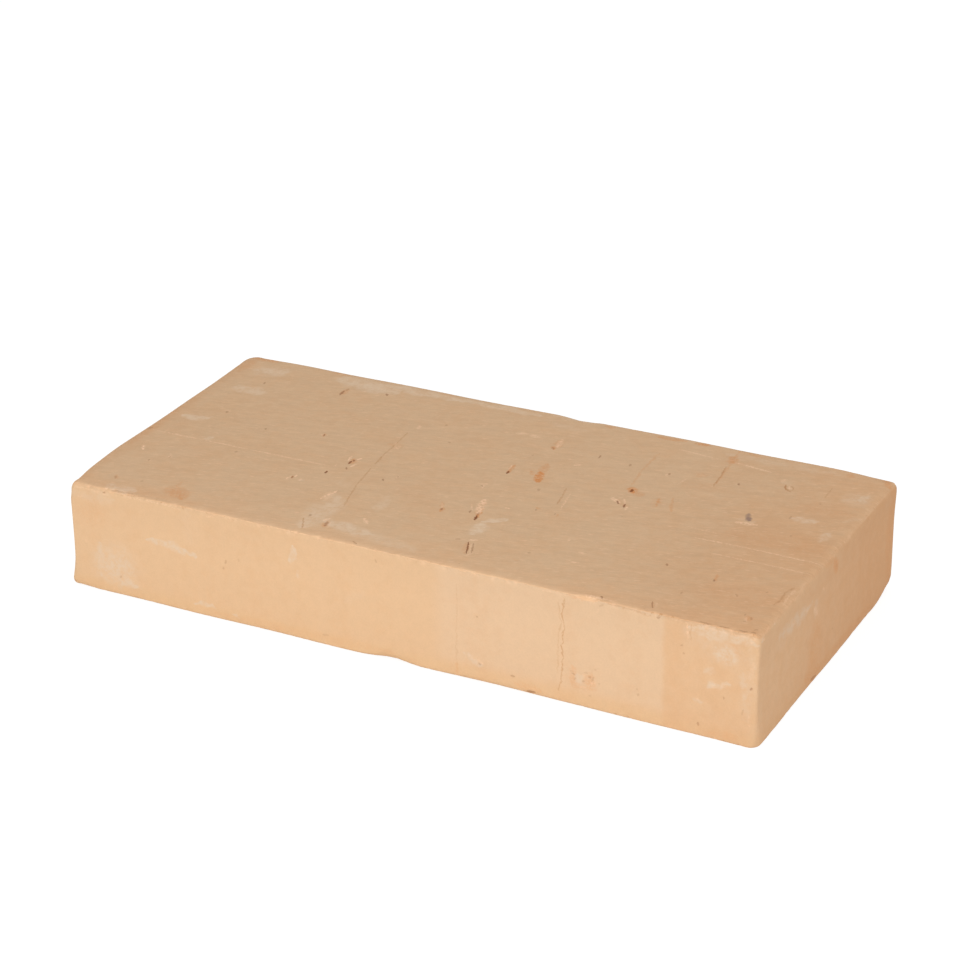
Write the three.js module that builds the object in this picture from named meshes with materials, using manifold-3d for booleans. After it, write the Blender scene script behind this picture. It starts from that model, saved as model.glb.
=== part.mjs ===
// A solid wire-cut clay brick, lying on one of its two bed faces.
// Millimetres, +Z up, length along X, front face towards -Y.
// The origin is the centre of the bed that it lies on.
import * as THREE from 'three';
import { mergeVertices } from 'three/addons/utils/BufferGeometryUtils.js';
import Module from 'manifold-3d';

// Size after firing, face to face.
const LENGTH = 290;
const WIDTH = 140;
const THICKNESS = 45.5;

// The column of clay leaves a die with rounded corners, so the upright corners are round.
const CORNER_RADIUS = 2.2;
const CRISP_CORNER_RADIUS = 1.3; // front corner of the +X end
const SHARPEST_CORNER = 0.3; // what is left of that radius where an arris eats it up

// The wire leaves sharp arrises round both beds. Handling and firing round them a little.
const TOP_ARRIS = 1.9;
const FRONT_TOP_ARRIS = 0.7; // stayed crisp
const BACK_TOP_ARRIS = 1.2; // of the back's half next to the +X end
const BACK_BLEND = 15; // how far to either side of the middle it blends into the other half
const FOOT_ARRIS = 1.5;
const END_FOOT_ARRIS = 1.1; // foot of the +X end
const CRISP_FOOT_ARRIS = 0.6; // foot of the front next to the +X end
const CRISP_REACH = 60;
const DRAGGED_ARRIS = 3.2; // top arris of the +X end, which the cutter dragged
const DRAG_REACH = 26; // how far it goes on round the back corner
const ARRIS_WANDER = 0.25; // how much the rounding comes and goes along an arris
const WANDER_LENGTH = 62; // from one rounder stretch to the next

// Drying draws both ends slightly hollow, and the wet brick's weight spread the foot of the -X end.
// The wire pulled the back corner of the -X end out and pushed its front corner in.
const END_HOLLOW = 0.5;
const FOOT_SPREAD = 0.9;
const FOOT_SPREAD_HEIGHT = 13;
const PULLED_OUT = 2;
const PUSHED_IN = 1.5;
const PULL_HEIGHT = 22; // both grow from nothing at the foot and are full from here up
const PULL_REACH = 40;

// Bruises: stretches where an arris was pressed in while the clay was soft.
// Each is placed from the -X end, and its depth adds to the rounding of the arris there.
const BACK_BRUISE_FROM_END = 156;
const BACK_BRUISE_LENGTH = 22;
const BACK_BRUISE_DEPTH = 2.2;
const FRONT_FOOT_BRUISE_FROM_END = 143;
const FRONT_FOOT_BRUISE_LENGTH = 24;
const FRONT_FOOT_BRUISE_DEPTH = 2.8;
const FRONT_FOOT_WEAR_FROM_END = 184; // a long, shallow one next to it
const FRONT_FOOT_WEAR_LENGTH = 60;
const FRONT_FOOT_WEAR_DEPTH = 1.2;
const FRONT_SLUMP_FROM_END = 23;
const FRONT_SLUMP_LENGTH = 24;
const FRONT_SLUMP_DEPTH = 1.8;

// Worn corners: where an upright corner meets a bed, the arris is rounder and so is the corner.
const WORN_HEAD_DEPTH = 1.8; // front head of the -X end
const WORN_BACK_HEAD_DEPTH = 1.1; // back head of the -X end
const WORN_FRONT_FOOT_DEPTH = 1.5; // front foot of the -X end
const WORN_BACK_FOOT_DEPTH = 4.8; // back foot of the +X end
const WORN_REACH = 15;
const BACK_FOOT_REACH = 22;
const LONG_WORN_REACH = 32; // along the back from the -X end
const FRONT_HEAD_WEAR = 2.4; // front head of the -X end
const BACK_HEAD_WEAR = 4; // back head of the -X end
const CRISP_HEAD_WEAR = 1.2; // front head of the +X end
const FRONT_FOOT_CORNER_WEAR = 2.4; // of the +X end
const BACK_FOOT_CORNER_WEAR = 2.6; // of the +X end
const HEAD_WEAR_HEIGHT = 6;
const FOOT_WEAR_HEIGHT = 14;

// Chips: scoops broken out of an arris after drying.
const FLAKE_FROM_END = 224; // a shallow flake off the top front arris
const FLAKE_LENGTH = 15;
const FLAKE_HEIGHT = 6;
const FLAKE_BITE = 1.1;
const CRUMBS_FROM_FRONT = [33, 73, 84]; // crumbs off the dragged arris
const CRUMB_LENGTH = 6;
const CRUMB_HEIGHT = 4;
const CRUMB_BITE = 1.1;

// Facets: steps along a straight face, round a corner, over an arris and up a wall.
const FACE_STEP = 5;
const CORNER_STEPS = 6;
const ARRIS_STEPS = 4;
const WALL_STEPS = 8;
const CHIP_DETAIL = 2;

const RIGHT = LENGTH / 2;
const LEFT = -RIGHT;
const BACK = WIDTH / 2;
const FRONT = -BACK;

const { degToRad, lerp, smoothstep } = THREE.MathUtils;
const QUARTER_TURN = degToRad(90);

const clay = new THREE.MeshStandardMaterial({ color: 0xdcb795, roughness: 0.93, metalness: 0 });

// The die's mouth: a rectangle with round corners, drawn anticlockwise.
function dieOutline() {
  const outline = new THREE.Path();
  const corners = [[RIGHT, FRONT, -1], [RIGHT, BACK, 0], [LEFT, BACK, 1], [LEFT, FRONT, 2]];
  for (const [cornerX, cornerY, quarter] of corners) {
    const centreX = cornerX - Math.sign(cornerX) * CORNER_RADIUS;
    const centreY = cornerY - Math.sign(cornerY) * CORNER_RADIUS;
    const start = quarter * QUARTER_TURN;
    outline.absarc(centreX, centreY, CORNER_RADIUS, start, start + QUARTER_TURN, false);
  }
  outline.closePath();
  return outline;
}

// Stations round the outline: a point on it, the outward direction, the point of the core
// rectangle that it is rounded from, and the distance walked.
function walkOutline(outline) {
  const stations = [];
  let walked = 0;
  for (const curve of outline.curves) {
    const length = curve.getLength();
    const steps = curve.isLineCurve ? Math.ceil(length / FACE_STEP) : CORNER_STEPS;
    for (let step = 0; step < steps; step++) {
      const point = curve.getPointAt(step / steps);
      const tangent = curve.getTangentAt(step / steps);
      const outward = new THREE.Vector2(tangent.y, -tangent.x);
      const core = point.clone().addScaledVector(outward, -CORNER_RADIUS);
      stations.push({ point, outward, core, walked: walked + (length * step) / steps });
    }
    walked += length;
  }
  return { stations, perimeter: walked };
}

// From 1 at a place to 0 at a distance from it, level at both.
function fade(point, x, y, reach) {
  return 1 - smoothstep(Math.hypot(point.x - x, point.y - y), 0, reach);
}

function topArris(station, wander) {
  const { point, outward } = station;
  const backHalf = outward.y * smoothstep(point.x, -BACK_BLEND, BACK_BLEND);
  const back = lerp(TOP_ARRIS, BACK_TOP_ARRIS, Math.max(0, backHalf));
  const drawn = lerp(back, FRONT_TOP_ARRIS, Math.max(0, -outward.y));
  const plain = lerp(drawn, DRAGGED_ARRIS, Math.max(0, outward.x, fade(point, RIGHT, BACK, DRAG_REACH)));
  const bruise = BACK_BRUISE_DEPTH
    * fade(point, LEFT + BACK_BRUISE_FROM_END, BACK, BACK_BRUISE_LENGTH / 2);
  const slump = FRONT_SLUMP_DEPTH
    * fade(point, LEFT + FRONT_SLUMP_FROM_END, FRONT, FRONT_SLUMP_LENGTH / 2);
  const heads = WORN_HEAD_DEPTH * fade(point, LEFT, FRONT, WORN_REACH)
    + WORN_BACK_HEAD_DEPTH * fade(point, LEFT, BACK, LONG_WORN_REACH);
  return plain + bruise + slump + heads + wander;
}

function footArris(station, wander) {
  const { point, outward } = station;
  const front = lerp(FOOT_ARRIS, CRISP_FOOT_ARRIS, fade(point, RIGHT, FRONT, CRISP_REACH));
  const plain = lerp(front, END_FOOT_ARRIS, Math.max(0, outward.x));
  const bruise = FRONT_FOOT_BRUISE_DEPTH
    * fade(point, LEFT + FRONT_FOOT_BRUISE_FROM_END, FRONT, FRONT_FOOT_BRUISE_LENGTH / 2);
  const wear = FRONT_FOOT_WEAR_DEPTH
    * fade(point, LEFT + FRONT_FOOT_WEAR_FROM_END, FRONT, FRONT_FOOT_WEAR_LENGTH / 2);
  const feet = WORN_FRONT_FOOT_DEPTH * fade(point, LEFT, FRONT, WORN_REACH)
    + WORN_BACK_FOOT_DEPTH * fade(point, RIGHT, BACK, BACK_FOOT_REACH);
  return plain + bruise + wear + feet - wander;
}

// How much rounder an upright corner is at a height: at both feet of the +X end, and at all heads
// but its back one.
function cornerWear(station, height) {
  const { point } = station;
  const frontHead = fade(point, LEFT, FRONT, WORN_REACH);
  const backHead = fade(point, LEFT, BACK, WORN_REACH);
  const frontCorner = fade(point, RIGHT, FRONT, WORN_REACH);
  const backCorner = fade(point, RIGHT, BACK, WORN_REACH);
  const low = 1 - smoothstep(height, 0, FOOT_WEAR_HEIGHT);
  const high = smoothstep(height, THICKNESS - HEAD_WEAR_HEIGHT, THICKNESS);
  return low * (FRONT_FOOT_CORNER_WEAR * frontCorner + BACK_FOOT_CORNER_WEAR * backCorner)
    + high * (FRONT_HEAD_WEAR * frontHead + BACK_HEAD_WEAR * backHead + CRISP_HEAD_WEAR * frontCorner);
}

// How far the wall stands out from the die's outline at a height.
function standOut(station, height) {
  const { point, outward } = station;
  const up = height / THICKNESS;
  const hollow = END_HOLLOW * smoothstep(up, 0.05, 0.35) * (1 - smoothstep(up, 0.65, 0.95));
  const spread = FOOT_SPREAD * (1 - smoothstep(height, 0, FOOT_SPREAD_HEIGHT));
  const pull = PULLED_OUT * fade(point, LEFT, BACK, PULL_REACH)
    - PUSHED_IN * fade(point, LEFT, FRONT, PULL_REACH);
  const moved = spread + pull * smoothstep(height, 0, PULL_HEIGHT);
  return moved * Math.max(0, -outward.x) - hollow * Math.abs(outward.x);
}

// The outline's point at a station, after the outline was moved in and its corners were worn.
function wallPoint(station, inset, height) {
  const { core, outward } = station;
  const crisp = fade(station.point, RIGHT, FRONT, WORN_REACH);
  const drawn = lerp(CORNER_RADIUS, CRISP_CORNER_RADIUS, crisp);
  const radius = Math.max(drawn - inset, SHARPEST_CORNER) + cornerWear(station, height);
  const x = core.x * (RIGHT - inset - radius) / (RIGHT - CORNER_RADIUS);
  const y = core.y * (BACK - inset - radius) / (BACK - CORNER_RADIUS);
  return new THREE.Vector3(x + outward.x * radius, y + outward.y * radius, height);
}

// One upright section of the wall, from the rim of the lower bed over both arrises to the upper rim.
function wallSection(station, perimeter) {
  const waves = Math.round(perimeter / WANDER_LENGTH);
  const wander = ARRIS_WANDER * Math.sin((2 * Math.PI * waves * station.walked) / perimeter);
  const foot = footArris(station, wander);
  const top = topArris(station, wander);
  const profile = [];
  for (let step = 0; step <= ARRIS_STEPS; step++) {
    const turn = (step / ARRIS_STEPS) * QUARTER_TURN;
    profile.push({ inset: foot * (1 - Math.sin(turn)), height: foot * (1 - Math.cos(turn)) });
  }
  for (let step = 1; step < WALL_STEPS; step++) {
    profile.push({ inset: 0, height: lerp(foot, THICKNESS - top, step / WALL_STEPS) });
  }
  for (let step = 0; step <= ARRIS_STEPS; step++) {
    const turn = (step / ARRIS_STEPS) * QUARTER_TURN;
    const height = THICKNESS - top * (1 - Math.sin(turn));
    profile.push({ inset: top * (1 - Math.cos(turn)), height });
  }
  return profile.map(({ inset, height }) =>
    wallPoint(station, inset - standOut(station, height), height));
}

// Joins the sections into a band, and closes it with the two flat beds.
function loftSections(sections) {
  const rows = sections[0].length;
  const indices = [];
  sections.forEach((_, column) => {
    const here = column * rows;
    const next = ((column + 1) % sections.length) * rows;
    for (let row = 0; row < rows - 1; row++) {
      indices.push(here + row, next + row, next + row + 1);
      indices.push(here + row, next + row + 1, here + row + 1);
    }
  });
  const rim = (row) => sections.map((section) => new THREE.Vector2(section[row].x, section[row].y));
  for (const [a, b, c] of THREE.ShapeUtils.triangulateShape(rim(rows - 1), [])) {
    indices.push(a * rows + rows - 1, b * rows + rows - 1, c * rows + rows - 1);
  }
  for (const [a, b, c] of THREE.ShapeUtils.triangulateShape(rim(0), [])) {
    indices.push(a * rows, c * rows, b * rows);
  }
  const geometry = new THREE.BufferGeometry().setFromPoints(sections.flat());
  geometry.setIndex(indices);
  return geometry;
}

// A squashed ball that bites into an arris: its middle lies on the arris line, lifted outwards
// on the diagonal between the two faces so that only `bite` of it goes in.
function chipCutter(x, y, outward, length, height, bite) {
  const ball = new THREE.IcosahedronGeometry(0.5, CHIP_DETAIL);
  const diagonal = new THREE.Vector3(outward.x, outward.y, 1).normalize();
  const middle = new THREE.Vector3(x, y, THICKNESS).addScaledVector(diagonal, height / 2 - bite);
  const along = new THREE.Vector3(-outward.y, outward.x, 0);
  const across = new THREE.Vector3().crossVectors(diagonal, along);
  const turn = new THREE.Matrix4().makeBasis(along, across, diagonal);
  const stretch = new THREE.Matrix4().makeScale(length, height, height);
  ball.applyMatrix4(turn.multiply(stretch).setPosition(middle));
  return ball;
}

function chipCutters() {
  const front = new THREE.Vector2(0, -1);
  const end = new THREE.Vector2(1, 0);
  const flake = chipCutter(LEFT + FLAKE_FROM_END, FRONT, front, FLAKE_LENGTH, FLAKE_HEIGHT, FLAKE_BITE);
  const crumbs = CRUMBS_FROM_FRONT.map((fromFront) =>
    chipCutter(RIGHT, FRONT + fromFront, end, CRUMB_LENGTH, CRUMB_HEIGHT, CRUMB_BITE));
  return [flake, ...crumbs];
}

const wasm = await Module();
wasm.setup();

function toSolid(geometry) {
  const bare = geometry.clone();
  bare.deleteAttribute('normal');
  bare.deleteAttribute('uv');
  const merged = mergeVertices(bare, 1e-4);
  const vertProperties = new Float32Array(merged.attributes.position.array);
  const triVerts = new Uint32Array(merged.index.array);
  return new wasm.Manifold(new wasm.Mesh({ numProp: 3, vertProperties, triVerts }));
}

function toGeometry(solid) {
  const { vertProperties, triVerts } = solid.getMesh();
  const geometry = new THREE.BufferGeometry();
  geometry.setAttribute('position', new THREE.BufferAttribute(vertProperties, 3));
  geometry.setIndex(new THREE.BufferAttribute(triVerts, 1));
  geometry.computeVertexNormals();
  return geometry;
}

function brickGeometry() {
  const { stations, perimeter } = walkOutline(dieOutline());
  const sections = stations.map((station) => wallSection(station, perimeter));
  let solid = toSolid(loftSections(sections));
  for (const cutter of chipCutters()) {
    solid = solid.subtract(toSolid(cutter));
  }
  return toGeometry(solid);
}

const brick = new THREE.Mesh(brickGeometry(), clay);
brick.name = 'brick';

const group = new THREE.Group();
group.add(brick);

export default group;
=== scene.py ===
"""The looks of a solid wire-cut clay brick: cut beds, die-drawn walls, worn arrises and its own marks."""

import math
from functools import partial, reduce

import bpy
from bpy.props import FloatProperty, FloatVectorProperty, IntProperty, PointerProperty
from mathutils import Matrix, Vector


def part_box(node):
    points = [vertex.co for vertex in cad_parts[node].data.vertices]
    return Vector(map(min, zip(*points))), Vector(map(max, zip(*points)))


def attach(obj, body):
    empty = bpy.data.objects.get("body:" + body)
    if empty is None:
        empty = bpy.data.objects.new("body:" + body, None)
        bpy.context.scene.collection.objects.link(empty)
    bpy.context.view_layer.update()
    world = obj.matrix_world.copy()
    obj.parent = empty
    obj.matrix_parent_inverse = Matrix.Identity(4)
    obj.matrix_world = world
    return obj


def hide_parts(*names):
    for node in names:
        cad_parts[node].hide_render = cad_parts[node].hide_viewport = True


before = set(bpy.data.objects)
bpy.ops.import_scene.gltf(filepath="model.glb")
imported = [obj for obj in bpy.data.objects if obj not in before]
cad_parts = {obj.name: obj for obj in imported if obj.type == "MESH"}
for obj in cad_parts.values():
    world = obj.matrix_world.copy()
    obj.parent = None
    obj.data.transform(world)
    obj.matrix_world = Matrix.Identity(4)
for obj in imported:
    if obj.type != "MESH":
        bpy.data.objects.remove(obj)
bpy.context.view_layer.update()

bl_info = {
    "name": "Fired Clay Brick",
    "version": (1, 0, 0),
    "blender": (4, 5, 0),
    "location": "View3D > Sidebar > Brick",
    "description": "Dresses a plain brick solid as wire-cut fired clay and sets it on a pale studio floor",
    "category": "Object",
}

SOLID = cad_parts["brick"]
LOW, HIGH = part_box("brick")
MM = 0.001


def srgb(red, green, blue):
    """A colour written as 0 to 255, turned into the linear numbers that sockets hold."""

    def linear(value):
        share = value / 255
        return share / 12.92 if share <= 0.04045 else ((share + 0.055) / 1.055) ** 2.4

    return tuple(linear(value) for value in (red, green, blue))


# ---------------------------------------------------------------- marks on this brick

# A mark is an ellipse on one face: the two places of its middle, its length and width, its turn and
# its strength. Places and sizes are in millimetres: x and y on the upper bed, x and z on the front,
# y and z on the right end. The turn is in degrees from the face's first axis, and the strength is 1
# where the mark covers the clay fully at its middle.


def line(width, strength, *points):
    """Narrow marks end to end along these points."""
    marks = []
    for start, end in zip(points, points[1:]):
        run = Vector(end) - Vector(start)
        middle = (Vector(start) + Vector(end)) / 2
        turn = math.degrees(math.atan2(run.y, run.x))
        marks.append((*middle, run.length + width, width, turn, strength))
    return marks


# Holes that the wire tore open as it dragged coarse grains through the bed, and pinholes in the walls,
# painted dark with the shade inside them.
PITS = {
    "upper bed": [
        # Two slits, and the thin one beside the first.
        *line(0.8, 0.85, (24.1, -57.6), (20.8, -49.6)),
        *line(0.7, 0.42, (25.8, -56.8), (22.8, -49.4)),
        *line(0.8, 0.45, (102.6, -66.7), (101, -62.8)),
        # The group left of the middle.
        (-53.4, -7.7, 2.8, 1.4, 95, 0.85), (-52.9, -5.6, 2, 1.1, 110, 0.6),
        (-57.4, -19.4, 2.6, 1.3, 103, 0.9), (-52, -13, 2.2, 1, 120, 0.5),
        (-67, -29, 2.2, 1.1, 97, 0.5),
        # The long torn hole and its companion.
        (13.7, -30.2, 4, 1.4, 103, 1), (13, -27.4, 4, 0.9, 103, 0.4),
        (9.2, -26, 2.2, 1.1, 100, 0.45), (-1.4, -29, 2.4, 1.4, 102, 0.45),
        (6.3, 11, 2.8, 1.3, 96, 0.95), (12.4, 38.8, 2.4, 1.4, 120, 0.35),
        (16, -48.6, 2.2, 1.4, 20, 0.3), (-43.6, -55, 2.2, 1.5, 100, 0.35),
        (-128.8, -58.8, 2.8, 1.3, 125, 0.25),
        # The deep one behind the twins.
        (56.4, 17, 2.8, 1.8, 98, 1), (59.5, 3.6, 3.2, 1.1, 108, 0.8),
        (56, 5.3, 2.6, 1, 126, 0.7), (-90.4, 50.4, 5, 1.7, 97, 0.55),
        (-90, 54, 2.6, 1.2, 80, 0.3), (137, -59, 1.8, 0.9, 110, 0.3),
        (134, -57.4, 1.6, 0.9, 110, 0.25), (135.6, -62, 1.4, 0.9, 60, 0.25),
        (141.6, -66, 1.6, 1, 60, 0.3), (107.4, -52, 1.8, 1.1, 100, 0.25),
        (125.8, -45, 2.6, 1, 120, 0.22), (83.4, -67.4, 2, 1.1, 125, 0.6),
        # Painted shade under the crumbs at the worn ends of the front arris.
        (-119, -68.8, 10, 0.9, 0, 0.3), (124, -69, 5, 0.9, 0, 0.35),
        (131, -69, 4, 0.9, 0, 0.4), (138, -68.8, 3.4, 1, 0, 0.4),
        (141.6, -68.2, 2, 1.1, 0, 0.35),
        # Pinholes.
        (-126, -40, 1.5, 1, 100, 0.35), (-120, -34, 1.5, 1, 100, 0.3),
        (-123, 13, 2.2, 1.4, 120, 0.35), (-124.6, 45, 2, 1.1, 110, 0.4),
        (-100, 5.4, 1.8, 1, 110, 0.35), (-75.6, 10.4, 2.2, 1.1, 113, 0.6),
        (-72.6, 56.6, 2.6, 1.7, 130, 0.55), (-34, -15.8, 2, 1, 118, 0.5),
        (-30, -11, 1.6, 0.9, 110, 0.35), (3, -4, 2, 1.1, 118, 0.3),
        (24.2, 2, 2.6, 1.7, 109, 0.26), (31, -14, 1.6, 0.9, 105, 0.25),
        (39, -14, 1.6, 0.9, 105, 0.25), (32.4, 39.6, 3.4, 1.1, 100, 0.45),
        (46.4, 37.6, 2.4, 1.3, 100, 0.4), (63.4, 36.8, 2, 1.1, 100, 0.4),
        (91, 40, 2.2, 1.2, 104, 0.5), (93.8, -34, 2, 1.1, 113, 0.5),
        (114, -38, 1.8, 1.1, 105, 0.5), (119.6, 21.6, 3, 1.1, 95, 0.25),
        (-142.6, -14, 3, 1.8, 60, 0.3), (-34.4, -58.8, 4.4, 2, 103, 0.42),
        (-17, -67.8, 2.8, 1, 148, 0.35),
    ],
    "front": [
        (56.4, 1.6, 4, 1.6, 12, 0.6), (49, 6.4, 2, 1.2, 0, 0.35),
        (106.4, 44, 1.5, 1.1, 20, 0.35), (84.4, 43.6, 2.2, 1.1, 32, 0.16),
        (-127, 44, 1.6, 1.1, 30, 0.45), (142, 24, 1.8, 1.3, 52, 0.45),
        (139, 14, 2.8, 1, 75, 0.15), (132, 18, 1.4, 1, 90, 0.25),
        (122.4, 5, 1.8, 1.1, 117, 0.35), (115.4, 35, 1.4, 1.1, 0, 0.25),
        (99, 11, 1.6, 1.3, 90, 0.2),
        # Specks in and round the rough patch.
        (73.4, 13.4, 1.9, 1.2, 0, 0.22), (79.9, 13.4, 1.7, 1.5, 0, 0.26),
        (77.4, 11.1, 1.4, 1.1, 0, 0.25), (74.2, 11.4, 1.5, 1, 60, 0.18),
        (81.1, 12.8, 2.4, 0.9, 70, 0.2), (72.7, 14.3, 1.5, 1, 0, 0.12),
        (78.5, 14.9, 2, 1, 0, 0.14), (82.1, 17, 1.4, 1.4, 0, 0.14),
        (83.7, 11.6, 1.6, 1, 60, 0.12), (80.1, 5.8, 1.4, 1.1, 0, 0.14),
        (-7, 41, 1.8, 1.2, 117, 0.2), (-73, 26, 2, 1.3, 69, 0.22),
        (-74, 23, 1.5, 1.1, 65, 0.2), (-122, 8.6, 1.7, 1.2, 55, 0.22),
        (-30, 4.6, 3.2, 1.1, 7, 0.15), (-67, 28, 1.2, 1.6, 0, 0.12),
        (-144, 2, 1.4, 1.4, 0, 0.5),
    ],
    "right": [
        (-16, 2, 6, 1.6, 172, 0.4), (4, 39, 3, 1.6, 128, 0.08),
        (-3, 44.4, 3, 1.2, 0, 0.12),
    ],
}

# Grey specks of slag that the wire could not cut.
SLAG = {
    "upper bed": [
        (105, 15.4, 6, 2.8, 104, 0.8), (106, 13.6, 4.4, 3.2, 120, 1.2),
    ],
}

# Narrow slits, furrows and cracks, painted brown with the shade inside them.
FURROWS = {
    "upper bed": [
        # The long faint furrow that bends across the bed.
        *line(1, 0.4, (-36, -43), (-38.5, -34), (-41, -24), (-43.4, -8.5)),
        *line(1.1, 0.55, (-43.9, -4.5), (-45, 4)),
        *line(1, 0.4, (-45, 4), (-45.7, 16), (-46.6, 27)),
        *line(0.9, 0.55, (-44.6, -58.4), (-42.6, -62), (-40.7, -66)),
        *line(1, 0.55, (83, 34), (82, 44), (80.6, 52)),
        *line(1, 0.45, (36, -6), (34.6, 1.6), (33, 8)),
        # The rim of the ring-shaped crater.
        *line(1.3, 0.85, (107.6, 46.8), (108.4, 44.6), (109.8, 43), (111.2, 42.4)),
        *line(1, 0.4, (111.2, 42.4), (111.4, 45), (110, 47.4)),
        # The rough place by the right arris.
        *line(1.2, 0.45, (141.8, -31), (140.4, -36), (141, -42), (140.2, -46)),
        *line(0.9, 0.25, (142, -43), (140, -35)),
        *line(0.9, 0.3, (125, 43), (124.6, 52)),
    ],
    "front": [
        # The upright crack and the hair beside it.
        *line(0.9, 0.5, (69.6, 43), (69.2, 37), (69.7, 31), (68.9, 24), (69.4, 18.6), (68.6, 13)),
        *line(0.9, 0.45, (68.6, 13), (68.7, 9), (67.6, 5.4)),
        *line(0.9, 0.3, (86, 44.9), (95, 44.6), (103, 43.8)),
        *line(0.8, 0.25, (67.6, 41), (68.4, 33), (67.4, 24), (67.2, 12)),
        *line(0.9, 0.16, (26.6, 39), (26, 22), (26, 3)),
        *line(0.9, 0.3, (118.8, 44), (119, 38)),
    ],
}

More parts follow.
